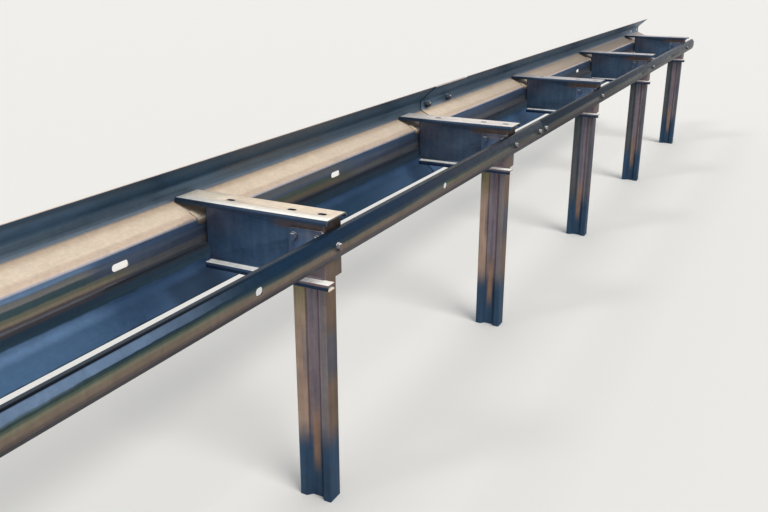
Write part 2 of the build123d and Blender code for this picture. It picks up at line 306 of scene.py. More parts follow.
class ZincWithPaintedLight:
    """Galvanised zinc whose colour is built from tones laid over each other by place and by the way a face looks, most
    of them painted reflections, painted highlights and painted shade, then weathered.
    """

    places = ("x", "y", "z", "true_y", "row_x")

    def __init__(self, name, colour):
        self.material = bpy.data.materials.new(name)
        self.material.use_nodes = True
        self.nodes = self.material.node_tree.nodes
        self.links = self.material.node_tree.links
        self.shader = self.nodes["Principled BSDF"]
        self.shader.inputs["Specular IOR Level"].default_value = 0.15
        self.shader.inputs["Specular Tint"].default_value = (0.3, 0.34, 0.4, 1)
        where = self.nodes.new("ShaderNodeNewGeometry")
        local = self.nodes.new("ShaderNodeTexCoord")
        drift = self.nodes.new("ShaderNodeTexNoise")
        drift.inputs["Scale"].default_value = 16
        self.links.new(where.outputs["Position"], drift.inputs["Vector"])
        wander = self.nodes.new("ShaderNodeVectorMath")
        wander.operation = "MULTIPLY_ADD"
        wander.inputs[1].default_value = 3 * (5 * mm,)
        self.links.new(drift.outputs["Color"], wander.inputs[0])
        self.links.new(local.outputs["Object"], wander.inputs[2])
        patches = self.nodes.new("ShaderNodeTexNoise")
        patches.inputs["Scale"].default_value = 3.2
        patches.inputs["Detail"].default_value = 3
        self.links.new(where.outputs["Position"], patches.inputs["Vector"])
        self.values = {"patch": patches.outputs["Fac"]}
        sources = (
            ("", wander.outputs[0]), ("true_", local.outputs["Object"]),
            ("row_", where.outputs["Position"]), ("face_", where.outputs["Normal"]),
        )
        for prefix, source in sources:
            split = self.nodes.new("ShaderNodeSeparateXYZ")
            self.links.new(source, split.inputs[0])
            for axis, socket in zip("xyz", split.outputs):
                self.values[prefix + axis] = socket
        self.colour = srgb(*colour)

    def fade(self, key, low, high):
        """Zero at the first number and one at the second."""
        unit = mm if key in self.places else 1
        node = self.nodes.new("ShaderNodeMapRange")
        node.interpolation_type = "SMOOTHSTEP"
        self.links.new(self.values[key], node.inputs["Value"])
        node.inputs["From Min"].default_value = low * unit
        node.inputs["From Max"].default_value = high * unit
        return node.outputs["Result"]

    def lay(self, colour, strength=1.0, **limits):
        """Lays a chart colour where all limits hold, at a strength up to 1.

        In a limit two numbers fade the colour in, and two more fade it out again.
        Limits of place are in millimetres: x, y and z wander a little, true_y doesn't, and row_x is
        measured along the whole row. Those of face_x, face_y and face_z say which way the face looks.
        """
        share = strength
        for key, limit in limits.items():
            for low, high in zip(limit[::2], limit[1::2]):
                product = self.nodes.new("ShaderNodeMath")
                product.operation = "MULTIPLY"
                if isinstance(share, float):
                    product.inputs[0].default_value = share
                else:
                    self.links.new(share, product.inputs[0])
                self.links.new(self.fade(key, low, high), product.inputs[1])
                share = product.outputs[0]
        mix = self.nodes.new("ShaderNodeMix")
        mix.data_type = "RGBA"
        factor, under, over = mix.inputs[0], mix.inputs[6], mix.inputs[7]
        self.links.new(share, factor)
        if isinstance(self.colour, bpy.types.NodeSocket):
            self.links.new(self.colour, under)
        else:
            under.default_value = self.colour
        over.default_value = srgb(*colour)
        self.colour = mix.outputs[2]

    def weathered(self, roughness=0.42, mottle=0.5, streaks=0.4, relief=0.25):
        coat = self.nodes.new("ShaderNodeGroup")
        coat.node_tree = weathered_zinc
        self.links.new(self.colour, coat.inputs["Color"])
        coat.inputs["Roughness"].default_value = roughness
        coat.inputs["Mottle"].default_value = mottle
        coat.inputs["Streaks"].default_value = streaks
        bare_metal = 0.5
        chalk = self.nodes.new("ShaderNodeMath")
        chalk.operation = "MULTIPLY"
        chalk.inputs[1].default_value = bare_metal
        self.links.new(self.fade("face_z", 0.9, 0.7), chalk.inputs[0])
        self.links.new(chalk.outputs[0], self.shader.inputs["Metallic"])
        bump = self.nodes.new("ShaderNodeBump")
        bump.inputs["Strength"].default_value = relief
        bump.inputs["Distance"].default_value = 0.4 * mm
        self.links.new(coat.outputs["Color"], self.shader.inputs["Base Color"])
        self.links.new(coat.outputs["Roughness"], self.shader.inputs["Roughness"])
        self.links.new(coat.outputs["Height"], bump.inputs["Height"])
        self.links.new(bump.outputs["Normal"], self.shader.inputs["Normal"])
        return self.material


field_face = (-0.5, -0.9)
far_posts = (1500, 2400)
# Painted light on the post: the base tone and the bands across web and groove are painted reflections, lighter and
# browner on the half toward the front rail.
post_coat = ZincWithPaintedLight("post_zinc", (118, 112, 114))
post_coat.lay((160, 138, 124), y=(-0.6, 0.6))
post_coat.lay((134, 127, 98), y=(12, 20), z=(500, 660))
post_coat.lay((128, 117, 124), y=(-30, -27, 20, 18))
post_coat.lay((90, 99, 118), 0.8, y=(-4, 0, 9, 5), patch=(0.42, 0.56))
# Painted shade: a dark line in the corner of the groove.
post_coat.lay((70, 62, 65), 0.7, true_y=(15, 17, 21, 19))
# Painted reflection: brown and grey-blue on the faces that look to the field side.
post_coat.lay((115, 97, 84), face_y=field_face, y=(-40, -44))
post_coat.lay((80, 85, 97), 0.8, face_y=field_face, z=(340, 420, 560, 480))
# Painted reflections for the far posts along the row.
post_coat.lay((52, 68, 78), 0.85, y=(8, 18), row_x=far_posts)
post_coat.lay((66, 74, 90), 0.6, y=(-28, -32), row_x=far_posts)
# Painted shade: darker and bluer towards the foot, with a brown painted reflection in the groove.
post_coat.lay((54, 76, 100), z=(260, 150))
post_coat.lay((152, 120, 96), 0.8, z=(340, 220, 60, 150), y=(-14, -4, 17, 7))
# Painted sunlight: up-facing faces pale.
post_coat.lay((226, 224, 216), face_z=(0.75, 0.9))
post_zinc = post_coat.weathered(roughness=0.42, mottle=0.5, streaks=0.7)
flat_y = post_depth / 2 - post_wall / 2
post_web = post_near_x + post_wall / 2
lip_x = post_open_x - post_wall / 2
groove_x = post_web + groove_depth
half_post = [
    (lip_x, flat_y - post_lip), (lip_x, flat_y), (post_web, flat_y),
    (post_web, groove_mouth / 2), (groove_x, groove_floor / 2),
]
post_corners = half_post + [(x, -y) for x, y in reversed(half_post)]
post_bends = [post_bend, post_bend, groove_bend, groove_bend, groove_bend, groove_bend, post_bend, post_bend]
post_section = sheet_section(post_corners, post_bends, post_wall)
post_master = piece("post_master", [rolled("z", (0, post_section), (post_height, post_section))], post_zinc)
at_each_post(post_master, "sigma_post", "post")

# Bracket: one 4 mm sheet folded into a web with level flanges, a small channel along its foot,
# and a flange at each end for the two rails. Its tab hooks over the slope of the front rail.
bracket_wall = 4 * mm
bracket_bend = 7 * mm
bracket_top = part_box("bracket_1")[1][2]
bracket_foot = bracket_top - 162 * mm
bracket_low = bracket_foot - bracket_wall
foot_channel = 17 * mm
channel_bend = 5.5 * mm
web_x = post_near_x - bracket_wall / 2
top_edge_x = web_x + 44 * mm - bracket_wall / 2
foot_edge_x = web_x - 31 * mm + bracket_wall / 2
rail_y = 322 * mm
rail_z = bracket_top - 83 * mm
foot_end_y = rail_y - 18 * mm
channel_start_y = -78 * mm
field_y = -post_depth / 2 - bracket_wall / 2
field_bend_y = field_y + bracket_bend
field_far_x = web_x - bracket_wall / 2 + 78 * mm
rail_flange_bend = 9 * mm
rail_bend_y = rail_y - bracket_wall / 2 - rail_flange_bend
flange_edge_x = web_x - bracket_wall / 2 + 60 * mm
flange_top = bracket_top - bracket_bend - bracket_wall
rail_wall = 3 * mm
rail_bend = 16 * mm
wave_depth = 82 * mm
valley_half = 38 * mm
crest_low = 76 * mm
wave_slope = (crest_low - valley_half) / wave_depth
valley_corner = rail_z + valley_half
rear_z = bracket_top - 74 * mm
post_bolt_z = post_height - 23 * mm
post_bolt_y = (-35 * mm, 35 * mm)
flange_bolt_x = web_x + 30 * mm
hole_m12 = 14 * mm
hole_m16 = 18 * mm
slot_m16 = 30 * mm
strap_middle = 2 * mm
strap_slot = 24 * mm
strap_slots = [(246 * mm, strap_middle), (55 * mm, strap_middle), (-34 * mm, strap_middle)]

near_side = (-0.2, -0.6)
end_face = (-0.5, -0.85)
# Painted light on the bracket: the faces that look back along the row are painted blue as reflection and shade, with
# browner painted reflections on the web under the strap; the far brackets get darker painted tones.
bracket_coat = ZincWithPaintedLight("bracket_zinc", (104, 112, 122))
bracket_coat.lay((70, 94, 122), face_x=near_side)
bracket_coat.lay((98, 86, 92), 0.55, face_x=near_side, patch=(0.5, 0.62))
bracket_coat.lay((66, 84, 104), 0.75, face_x=near_side, row_x=(600, 1200))
bracket_coat.lay((104, 98, 110), 0.45, face_x=near_side, y=(160, 300), z=(720, 780))
bracket_coat.lay((112, 94, 84), 0.8, face_x=near_side, y=(130, 60), z=(786, 798))
bracket_coat.lay((122, 106, 106), 0.8, face_x=near_side, y=(60, 30), z=(722, 706))
# Painted reflection and shade on the field-side flange: brown, with a dark painted band near its top.
bracket_coat.lay((114, 98, 86), face_y=end_face, z=(795, 785))
bracket_coat.lay((62, 52, 48), face_y=end_face, z=(786, 794))
# Painted shade under the foot.
bracket_coat.lay((38, 54, 78), z=(664, 660), face_x=(-0.3, -0.7))
# Painted sunlight: up-facing faces white, the tab cream like the rail's slope, and a light painted band on the
# field-side faces low down.
bracket_coat.lay((255, 254, 250), face_z=(0.8, 0.92))
bracket_coat.lay((250, 232, 208), face_z=(-0.2, 0.3), y=(316, 320), z=(770, 785))
bracket_coat.lay((238, 214, 190), face_y=(-0.6, -0.9), z=(660, 655))
bracket_zinc = bracket_coat.weathered(roughness=0.38, mottle=0.6, streaks=0.4)


def run_y(points, radii, start, end):
    section = sheet_section(points, radii, bracket_wall)
    return rolled("y", (start, section), (end, section))


top_z = bracket_top - bracket_wall / 2
foot_z = bracket_foot - bracket_wall / 2
channel_z = bracket_foot - foot_channel + bracket_wall / 2
channel = [(foot_edge_x, foot_z), (foot_edge_x, channel_z), (web_x - bracket_wall / 2, channel_z)]
fold_middle = (bracket_top + bracket_foot) / 2
folded = [(top_edge_x, top_z), (web_x, top_z), (web_x, foot_z)] + channel
fold_bends = [bracket_bend, bracket_bend, channel_bend, channel_bend]
overlap = 0.5 * mm
flange_y = rail_y - bracket_wall / 2
rail_flange_line = [(web_x, rail_bend_y - overlap), (web_x, flange_y), (flange_edge_x, flange_y)]
rail_flange = sheet_section(rail_flange_line, [rail_flange_bend], bracket_wall)
field_flange_line = [(web_x, field_bend_y + overlap), (web_x, field_y), (field_far_x, field_y)]
field_flange = sheet_section(field_flange_line, [bracket_bend], bracket_wall)
lower_web = [
    (web_x - bracket_wall / 2, bracket_low), (web_x + bracket_wall / 2, bracket_low),
    (web_x + bracket_wall / 2, fold_middle), (web_x - bracket_wall / 2, fold_middle),
]
tab_reach = 26 * mm
tab_drop = 15 * mm
tab_width = 32 * mm
tab_start_y = rail_y + rail_wall / 2
tab_line = [
    (tab_start_y + tab_reach, valley_corner + tab_reach * wave_slope),
    (tab_start_y, valley_corner), (tab_start_y, valley_corner - tab_drop),
]
sheet_gap = 0.2 * mm
tab = sheet_section(tab_line, [rail_bend], bracket_wall, -rail_wall / 2 - sheet_gap - bracket_wall / 2)
tab_far_x = web_x + bracket_wall / 2
bevel_x = post_near_x + bracket_bend
bevel_low = bracket_top - 50 * mm
bevel = [
    (bevel_x, bracket_top), (field_far_x, bevel_low), (field_far_x + mm, bevel_low), (bevel_x, bracket_top + mm),
]
bracket_forms = [
    run_y(folded, fold_bends, field_bend_y, foot_end_y),
    run_y([(web_x, foot_z)] + channel, [channel_bend, channel_bend], channel_start_y, field_bend_y),
    run_y([(top_edge_x, top_z), (web_x, top_z), (web_x, fold_middle)], [bracket_bend], foot_end_y, rail_bend_y),
    run_y([(top_edge_x, top_z), (web_x, top_z), (web_x, flange_top)], [bracket_bend], rail_bend_y, rail_y),
    rolled("y", (foot_end_y, lower_web), (rail_bend_y, lower_web)),
    rolled("z", (rail_z - valley_half, rail_flange), (flange_top, rail_flange)),
    rolled("x", (tab_far_x - tab_width, tab), (tab_far_x, tab)),
    rolled("z", (bracket_low, field_flange), (bracket_top, field_flange)),
]
bevel_cut = rolled("y", (field_y - 5 * mm, bevel), (field_y + 4.5 * mm, bevel))


def post_bolt_holes(at):
    """The two holes through bracket and washer plate."""
    return [cut("x", at, slot_outline(y, post_bolt_z, hole_m12, hole_m12)) for y in post_bolt_y]


def strap_slot_cuts(at):
    """The three slots that run along the top of bracket and strap."""
    slots = [slot_outline(y, x, strap_slot, hole_m12) for y, x in strap_slots]
    return [cut("z", at, [(x, y) for y, x in slot]) for slot in slots]


bracket_holes = [bevel_cut] + post_bolt_holes(web_x) + strap_slot_cuts(bracket_top) + [
    cut("y", rail_y, slot_outline(flange_bolt_x, rail_z, slot_m16, hole_m16)),
    cut("y", field_y, slot_outline(0, rear_z, hole_m12, hole_m12)),
]
bracket_master = piece("bracket_master", bracket_forms, bracket_zinc, bracket_holes)
at_each_post(bracket_master, "folded_bracket", "bracket")

# Washer plate: flat 4 mm plate with its corners cut, which spreads the load of the two post bolts
# over the bracket's web.
plate_x = web_x - bracket_wall / 2
plate_wall = 4 * mm
plate_half = 52.5 * mm
plate_height = 84 * mm
plate_corner = 6 * mm
plate_low = post_height - plate_height
plate_outline = [
    (-plate_half + plate_corner, plate_low), (plate_half - plate_corner, plate_low),
    (plate_half, plate_low + plate_corner), (plate_half, post_height - plate_corner),
    (plate_half - plate_corner, post_height), (-plate_half + plate_corner, post_height),
    (-plate_half, post_height - plate_corner), (-plate_half, plate_low + plate_corner),
]
# Painted light on the washer plate: the blue base is a painted reflection and the up-facing top edge a white painted
# highlight.
plate_coat = ZincWithPaintedLight("washer_plate_zinc", (94, 114, 144))
plate_coat.lay((118, 104, 98), 0.5, z=(765, 785), patch=(0.42, 0.56))
plate_coat.lay((255, 254, 248), face_z=(0.4, 0.7))
washer_plate_zinc = plate_coat.weathered(roughness=0.4, mottle=0.7, streaks=0.6)
plate_form = rolled("x", (plate_x - plate_wall, plate_outline), (plate_x, plate_outline))
plate_master = piece("plate_master", [plate_form], washer_plate_zinc, post_bolt_holes(plate_x))
at_each_post(plate_master, "washer_plate_piece", "washer_plate")

# Post bolts: two M12 hexagon bolts through washer plate, bracket and post, galvanised, with a washer
# under each head and nut. The turned and hexagon forms made here serve all the other bolts too.
hexagon_m12 = 18 * mm
head_m12 = 7.5 * mm
nut_m12 = 10 * mm
pitch_m12 = 1.75 * mm


def form_of(rings):
    """Closed mesh through rings of points, from the lowest to the highest."""
    shape = bmesh.new()
    made = [[shape.verts.new(point) for point in ring] for ring in rings]
    count = len(made[0])
    for low, high in zip(made, made[1:]):
        for i in range(count):
            shape.faces.new((low[i], low[(i + 1) % count], high[(i + 1) % count], high[i]))
    shape.faces.new(made[0][::-1])
    shape.faces.new(made[-1])
    return shape


def turned(profile, count=30):
    """Turned form from radii and heights."""
    turns = [2 * math.pi * i / count for i in range(count)]
    return form_of([[(r * math.cos(a), r * math.sin(a), z) for a in turns] for r, z in profile])


def hexagon(across, low, high, count=36):
    """Hexagon head or nut with both its ends turned down to a cone."""
    turns = [2 * math.pi * i / count for i in range(count)]
    crown = 0.475 * across
    reach = [across / 2 / math.cos(a % (math.pi / 3) - math.pi / 6) for a in turns]
    cone_slope = 0.58
    drops = [max(0.0, r - crown) * cone_slope for r in reach]

    def ring(radii, heights):
        return [(r * math.cos(a), r * math.sin(a), z) for a, r, z in zip(turns, radii, heights)]

    flat = count * [crown]
    return form_of([
        ring(flat, count * [low]), ring(reach, [low + d for d in drops]),
        ring(reach, [high - d for d in drops]), ring(flat, count * [high]),
    ])


def washer(radius, low, high):
    edge = 0.4 * mm
    return turned([(radius - edge, low), (radius, low + edge), (radius, high - edge), (radius - edge, high)])


def thread(radius, pitch, low, high):
    """Bolt end with its thread and a small chamfer."""
    core = radius - 0.9 * mm
    profile = [(core, low)]
    turns = int((high - low) / pitch)
    for i in range(turns):
        profile += [(radius, low + (i + 0.5) * pitch), (core, low + (i + 1) * pitch)]
    return turned(profile, 24)


def hexagon_bolt(grip):
    """M12 bolt with its head up from zero and its nut below the clamped sheets."""
    across = hexagon_m12
    washer_wall = 2.5 * mm
    washer_radius = across * 0.66
    radius = across / 3
    seat = -grip - washer_wall
    end = seat - nut_m12
    return [
        hexagon(across, washer_wall, washer_wall + head_m12), washer(washer_radius, 0, washer_wall),
        turned([(radius, seat - 1 * mm), (radius, washer_wall)], 24), washer(washer_radius, seat, -grip),
        hexagon(across, end, seat), thread(radius, pitch_m12, end - 5 * mm, end + 1 * mm),
    ]


def bolts_piece(name, shape):
    """Piece of turned and forged work, with its arrises left as they are."""
    return piece(name, [shape], bolt_zinc, edge=0, angle=28)


def aimed(forms, place, way):
    """Turns a bolt's forms so that its head looks the given way, and sets them in place."""
    whole = joined(forms)
    turn = Vector(way).to_track_quat("Z", "Y").to_matrix().to_4x4()
    bmesh.ops.transform(whole, matrix=turn, verts=whole.verts)
    bmesh.ops.translate(whole, vec=Vector(place), verts=whole.verts)
    return whole


# Painted light on the bolts: blue on faces looking back along the row and over the lap bolts on the front rail, brown
# on faces looking to the field side, all painted reflections; undersides painted dark as shade, and up-facing facets
# painted white as highlights.
bolt_coat = ZincWithPaintedLight("bolt_zinc", (112, 114, 118))
bolt_coat.lay((82, 100, 126), face_x=(-0.3, -0.8))
bolt_coat.lay((112, 98, 90), face_y=(-0.5, -0.9))
bolt_coat.lay((70, 88, 106), y=(380, 390), z=(620, 630))
bolt_coat.lay((60, 58, 60), face_z=(-0.2, -0.7))
bolt_coat.lay((255, 255, 252), face_z=(0.4, 0.7))
bolt_zinc = bolt_coat.weathered(roughness=0.34, mottle=0.6, streaks=0.2)
post_bolts = [
    aimed(hexagon_bolt(plate_wall + bracket_wall + post_wall), (plate_x - plate_wall, y, post_bolt_z), (-1, 0, 0))
    for y in post_bolt_y
]
bolt_master = bolts_piece("bolt_master", joined(post_bolts))
at_each_post(bolt_master, "post_bolts")

# Top strap: inverted channel of 4 mm sheet over the bracket, with three slots punched in its top.
# It ties the head of the post to the upper wave of the front rail.
strap_wall = 4 * mm
strap_side = 50.5 * mm - strap_wall / 2
strap_top = bracket_top + strap_wall
strap_low = strap_top - 13 * mm
strap_bend = 6 * mm
strap_start = -76 * mm
strap_end = 394 * mm
flat_top = (0.965, 0.99)
top_and_bend = (0.94, 0.975)
# Painted light on the strap: faces looking back along the row painted dark blue as shade; the top painted cream as
# sunlight, lighter still on the part the front rail shades, with a white painted highlight along its edge toward the
# start of the row; darker painted tones on the far straps; undersides painted dark as shade.
strap_coat = ZincWithPaintedLight("top_strap_zinc", (96, 98, 104))
strap_coat.lay((54, 69, 90), face_x=(0.0, -0.2))
strap_coat.lay((236, 218, 196), face_z=flat_top, x=(-45, -42))
strap_coat.lay((255, 242, 222), 0.9, face_z=flat_top, x=(-45, -42), y=(200, 340))
strap_coat.lay((255, 253, 246), face_z=top_and_bend, x=(-47, -44, 4, -34))
strap_coat.lay((226, 220, 216), 0.85, face_z=top_and_bend, row_x=(600, 1200))
strap_coat.lay((164, 162, 168), 0.7, face_z=top_and_bend, row_x=(1600, 2400))
strap_coat.lay((60, 52, 48), face_z=(-0.5, -0.9))
top_strap_zinc = strap_coat.weathered(roughness=0.4, mottle=0.22, streaks=0.15)
strap_corners = [
    (strap_middle - strap_side, strap_low), (strap_middle - strap_side, strap_top - strap_wall / 2),
    (strap_middle + strap_side, strap_top - strap_wall / 2), (strap_middle + strap_side, strap_low),
]
strap_section = sheet_section(strap_corners, [strap_bend, strap_bend], strap_wall)
strap_form = rolled("y", (strap_start, strap_section), (strap_end, strap_section))
strap_master = piece("strap_master", [strap_form], top_strap_zinc, strap_slot_cuts(strap_top))
at_each_post(strap_master, "strap_piece", "top_strap")

# Rear rail: shallow channel of 3 mm strip, rolled with a round back, bolted to the brackets' flanges.
# Two lengths meet between posts over an inner sleeve with a bolt on each side of the joint.
metre = 1.0
rail_pitch = 4 * metre
first_joint = post_places[0] - metre
middle_joint = first_joint + rail_pitch
rear_wall = 3 * mm
rear_edge_y = -post_depth / 2 - bracket_wall
rear_crest_y = rear_edge_y - 25 * mm
rear_half = 38.5 * mm
rear_flange = 14 * mm
half_rear = [(rear_edge_y, rear_half), (rear_edge_y - rear_flange, rear_half), (rear_crest_y, 19 * mm)]
rear_corners = [(y, rear_z + z) for y, z in half_rear + [(y, -z) for y, z in reversed(half_rear)]]
rear_bends = [9 * mm, 24 * mm, 24 * mm, 9 * mm]
round_back = (-0.2, -0.7)
upper_curve = (-0.3, -0.6)
# Painted light on the rear rail: the bands across its round back are painted reflections, lighter blue near the start
# of the row; the up-facing curve is painted near black as a reflection, the flat top dark and the undersides grey as
# painted shade.
rear_coat = ZincWithPaintedLight("rear_rail_zinc", (112, 116, 120))
rear_coat.lay((98, 88, 85), face_y=round_back)
rear_coat.lay((116, 103, 92), face_y=round_back, z=(739, 745))
rear_coat.lay((117, 114, 98), face_y=round_back, z=(751, 757))
rear_coat.lay((84, 95, 84), face_y=round_back, z=(759, 763))
rear_coat.lay((52, 68, 70), face_y=round_back, z=(764, 768))
rear_coat.lay((82, 98, 109), face_y=round_back, z=(770, 774), x=(-750, -980))
rear_coat.lay((34, 50, 64), face_y=upper_curve, z=(769, 774), x=(-920, -700))
rear_coat.lay((101, 122, 149), face_y=upper_curve, z=(774, 777), x=(-300, -800))
# Painted shadow: a darker stretch beside the first post, under the strap.
rear_coat.lay((24, 38, 56), 0.8, face_y=upper_curve, z=(771, 776), x=(-400, -200, 600, 200))
rear_coat.lay((10, 16, 26), face_z=(0.5, 0.75))
rear_coat.lay((44, 54, 66), face_z=(0.97, 0.99), x=(1000, -1000))
rear_coat.lay((66, 66, 69), face_z=(-0.35, -0.55))
rear_coat.lay((20, 48, 72), 0.75, face_y=(0.0, -0.2), z=(752, 762), x=(-550, -200, 700, 300))
rear_coat.lay((38, 44, 52), 0.6, face_y=(0.0, -0.2), x=(200, 1800))
rear_rail_zinc = rear_coat.weathered(roughness=0.36, mottle=0.4, streaks=0.25)
sleeve_coat = ZincWithPaintedLight("sleeve_zinc", (96, 100, 104))
# Painted sunlight: the sleeve's up-facing faces lighter.
sleeve_coat.lay((180, 178, 172), face_z=(0.8, 0.92))
sleeve_zinc = sleeve_coat.weathered()


clear_of_post = 110 * mm


def free_grid(start):
    """Metre places of a rail between its ends where no post stands."""
    grid = [start + count * metre for count in (1, 2, 3)]
    return [x for x in grid if min(abs(x - post) for post in post_places) > clear_of_post]


def rear_holes(places, length=hole_m12, height=hole_m12):
    return [cut("y", rear_crest_y, slot_outline(x, rear_z, length, height)) for x in places]


def rear_section(low, high):
    return sheet_section(rear_corners, rear_bends, high - low, (low + high) / 2)


rear_gap = 1 * mm
rear_end_hole = 40 * mm
rear_slot = (26 * mm, 18 * mm)
for index in (0, 1):
    start = first_joint + index * rail_pitch
    end = start + rail_pitch
    section = rear_section(0, rear_wall)
    holes = rear_holes([start + rear_end_hole, end - rear_end_hole] + [x for x in post_places if start < x < end])
    holes += rear_holes(free_grid(start), *rear_slot)
    form = rolled("x", (start + rear_gap, section), (end - rear_gap, section))
    rear = piece(f"rear_rail_length_{index + 1}", [form], rear_rail_zinc, holes)
    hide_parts(f"rear_rail_{index + 1}")
    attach(rear, "root")
sleeve_low = rear_wall + sheet_gap
section = rear_section(sleeve_low, sleeve_low + rear_wall)
half_sleeve = 100 * mm
form = rolled("x", (middle_joint - half_sleeve, section), (middle_joint + half_sleeve, section))
joint_bolts_x = (middle_joint - rear_end_hole, middle_joint + rear_end_hole)
sleeve = piece("joint_sleeve", [form], sleeve_zinc, rear_holes(joint_bolts_x))
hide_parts("rear_sleeve_1")
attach(sleeve, "root")

# Bolts of the rear rail: M12, their heads on the round back. One goes through each bracket's flange
# into the post, and two hold the sleeve at the joint.
rear_grip = 33 * mm
to_post = aimed(hexagon_bolt(rear_grip), (0, rear_crest_y, rear_z), (0, -1, 0))
rear_bolt_master = bolts_piece("rear_bolt_master", to_post)
at_each_post(rear_bolt_master, "rear_bolt")
sleeve_grip = sleeve_low + rear_wall
sleeve_bolts = [aimed(hexagon_bolt(sleeve_grip), (x, rear_crest_y, rear_z), (0, -1, 0)) for x in joint_bolts_x]
joint_bolts = bolts_piece("rear_joint_bolts", joined(sleeve_bolts))
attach(joint_bolts, "root")

# Front rail: the two-wave beam, rolled from 3 mm strip and galvanised, in lengths that lap
# at each joint. The end of each length is set back behind the one before it, and slots run in its valley.
valley_y = rail_y + rail_wall / 2
peak_y = valley_y + wave_depth
crest_high = 118 * mm
edge_high = 181.5 * mm
edge_y = valley_y + 13 * mm
half_rail = [(edge_y, edge_high), (peak_y, crest_high), (peak_y, crest_low), (valley_y, valley_half)]
rail_corners = [(y, rail_z + z) for y, z in half_rail + [(y, -z) for y, z in reversed(half_rail)]]
rail_plain = sheet_section(rail_corners, 6 * [rail_bend], rail_wall)
rail_behind = sheet_section(rail_corners, 6 * [rail_bend], rail_wall, -rail_wall - sheet_gap)
half_lap = 160 * mm
joggle = 30 * mm
lap_bolt_x = 108 * mm
lap_bolt_z = 97 * mm
# Painted light on the front rail: nearly all these tones are painted reflections and painted shade, laid in bands by
# height and by the way a face looks, brighter near the start of the row.
rail_coat = ZincWithPaintedLight("front_rail_zinc", (104, 112, 122))
back = (0.1, -0.1)
valley = (-0.6, -0.9)
nearest = (-260, -400)
first_bay = (-380, -460)
lower_slope = {"face_z": (0.3, 0.6), "z": (634, 624)}
lower_shine = {"face_z": (0.3, 0.6), "z": (600, 620, 630, 624)}
upper_slope = {"face_z": (0.5, 0.85), "z": (700, 720)}
# The faces looking to the road side are painted lighter to offset the shade they lie in.
rail_coat.lay((152, 156, 160), face_y=(0.15, 0.5))
rail_coat.lay((68, 96, 122), face_y=back)
rail_coat.lay((82, 112, 144), face_y=back, z=(860, 870), x=nearest)
rail_coat.lay((58, 76, 94), 0.8, face_y=back, z=(900, 916))
rail_coat.lay((86, 110, 132), face_y=back, z=(866, 856))
rail_coat.lay((62, 84, 102), face_y=back, z=(858, 848), x=nearest)
rail_coat.lay((104, 124, 142), face_y=back, z=(840, 834))
rail_coat.lay((66, 84, 108), face_y=back, z=(832, 826))
rail_coat.lay((112, 142, 168), face_y=back, z=(832, 826), x=nearest)
rail_coat.lay((78, 100, 132), face_y=valley, z=(785, 775))
rail_coat.lay((106, 134, 168), face_y=valley, z=(785, 775), x=first_bay)
rail_coat.lay((80, 93, 114), face_y=valley, z=(772, 766))
rail_coat.lay((118, 118, 118), face_y=valley, z=(772, 764), x=first_bay)
rail_coat.lay((72, 82, 100), face_y=valley, z=(756, 750))
rail_coat.lay((62, 82, 88), face_y=valley, z=(756, 750), x=first_bay)
rail_coat.lay((98, 97, 98), 0.85, face_y=valley, z=(739, 733))
rail_coat.lay((104, 106, 91), face_y=valley, z=(739, 733), x=nearest)
rail_coat.lay((126, 116, 102), face_y=valley, z=(730, 724), x=nearest)
next_bay = (100, 240, 850, 620)
rail_coat.lay((98, 102, 106), 0.9, face_y=valley, z=(752, 766), x=next_bay)
rail_coat.lay((76, 85, 72), 0.9, face_y=valley, z=(754, 744), x=next_bay)
rail_coat.lay((100, 88, 76), 0.9, face_y=valley, z=(736, 726), x=next_bay)
rail_coat.lay((62, 65, 74), face_y=valley, z=(721, 714))
rail_coat.lay((88, 81, 84), face_y=valley, z=(721, 714), x=nearest)
rail_coat.lay((140, 138, 143), face_y=back, z=(713, 706), face_z=(-0.1, -0.4), x=nearest)
rail_coat.lay((52, 73, 91), face_y=back, z=(660, 650))
rail_coat.lay((56, 80, 94), face_y=back, z=(640, 630))
rail_coat.lay((70, 97, 130), **lower_slope)
rail_coat.lay((78, 108, 142), **lower_slope, x=nearest)
rail_coat.lay((52, 80, 106), 0.85, **lower_slope, x=(100, 240, 1300, 700))
# Painted shadow on the lower slope beside the first post.
rail_coat.lay((38, 52, 70), 0.7, **lower_slope, x=(-160, -100, 140, 40))
# Painted highlight: a lighter band along the top of the lower slope.
rail_coat.lay((92, 126, 168), 0.8, **lower_shine)
rail_coat.lay((136, 174, 218), 0.8, **lower_shine, x=nearest)
# Painted sunlight and sky reflection high on the rail: pale on faces that look up, the upper slope cream with browner
# edges, a blue painted reflection at the crest, and the cream darker far along the row.
rail_coat.lay((188, 182, 188), face_z=(0.15, 0.5), z=(700, 720))
rail_coat.lay((250, 230, 206), **upper_slope)
rail_coat.lay((224, 200, 178), 0.8, **upper_slope, y=(352, 338))
rail_coat.lay((222, 196, 170), 0.8, **upper_slope, y=(374, 396))
rail_coat.lay((104, 122, 138), 0.9, face_z=(0.86, 0.5, -0.2, 0.15), z=(700, 720), y=(394, 398))
rail_coat.lay((150, 136, 124), face_z=(0.7, 0.9), z=(700, 720), x=(600, 5200))
# Painted shade along the bottom edge.
rail_coat.lay((40, 52, 66), z=(570, 566))
front_rail_zinc = rail_coat.weathered(roughness=0.38, mottle=0.14, streaks=0.14, relief=0.15)
valley_slot = 54 * mm


def rail_cut(x, height, y, length=slot_m16):
    """Slot at a height above the rail's middle."""
    return cut("y", y, slot_outline(x, rail_z + height, length, hole_m16))


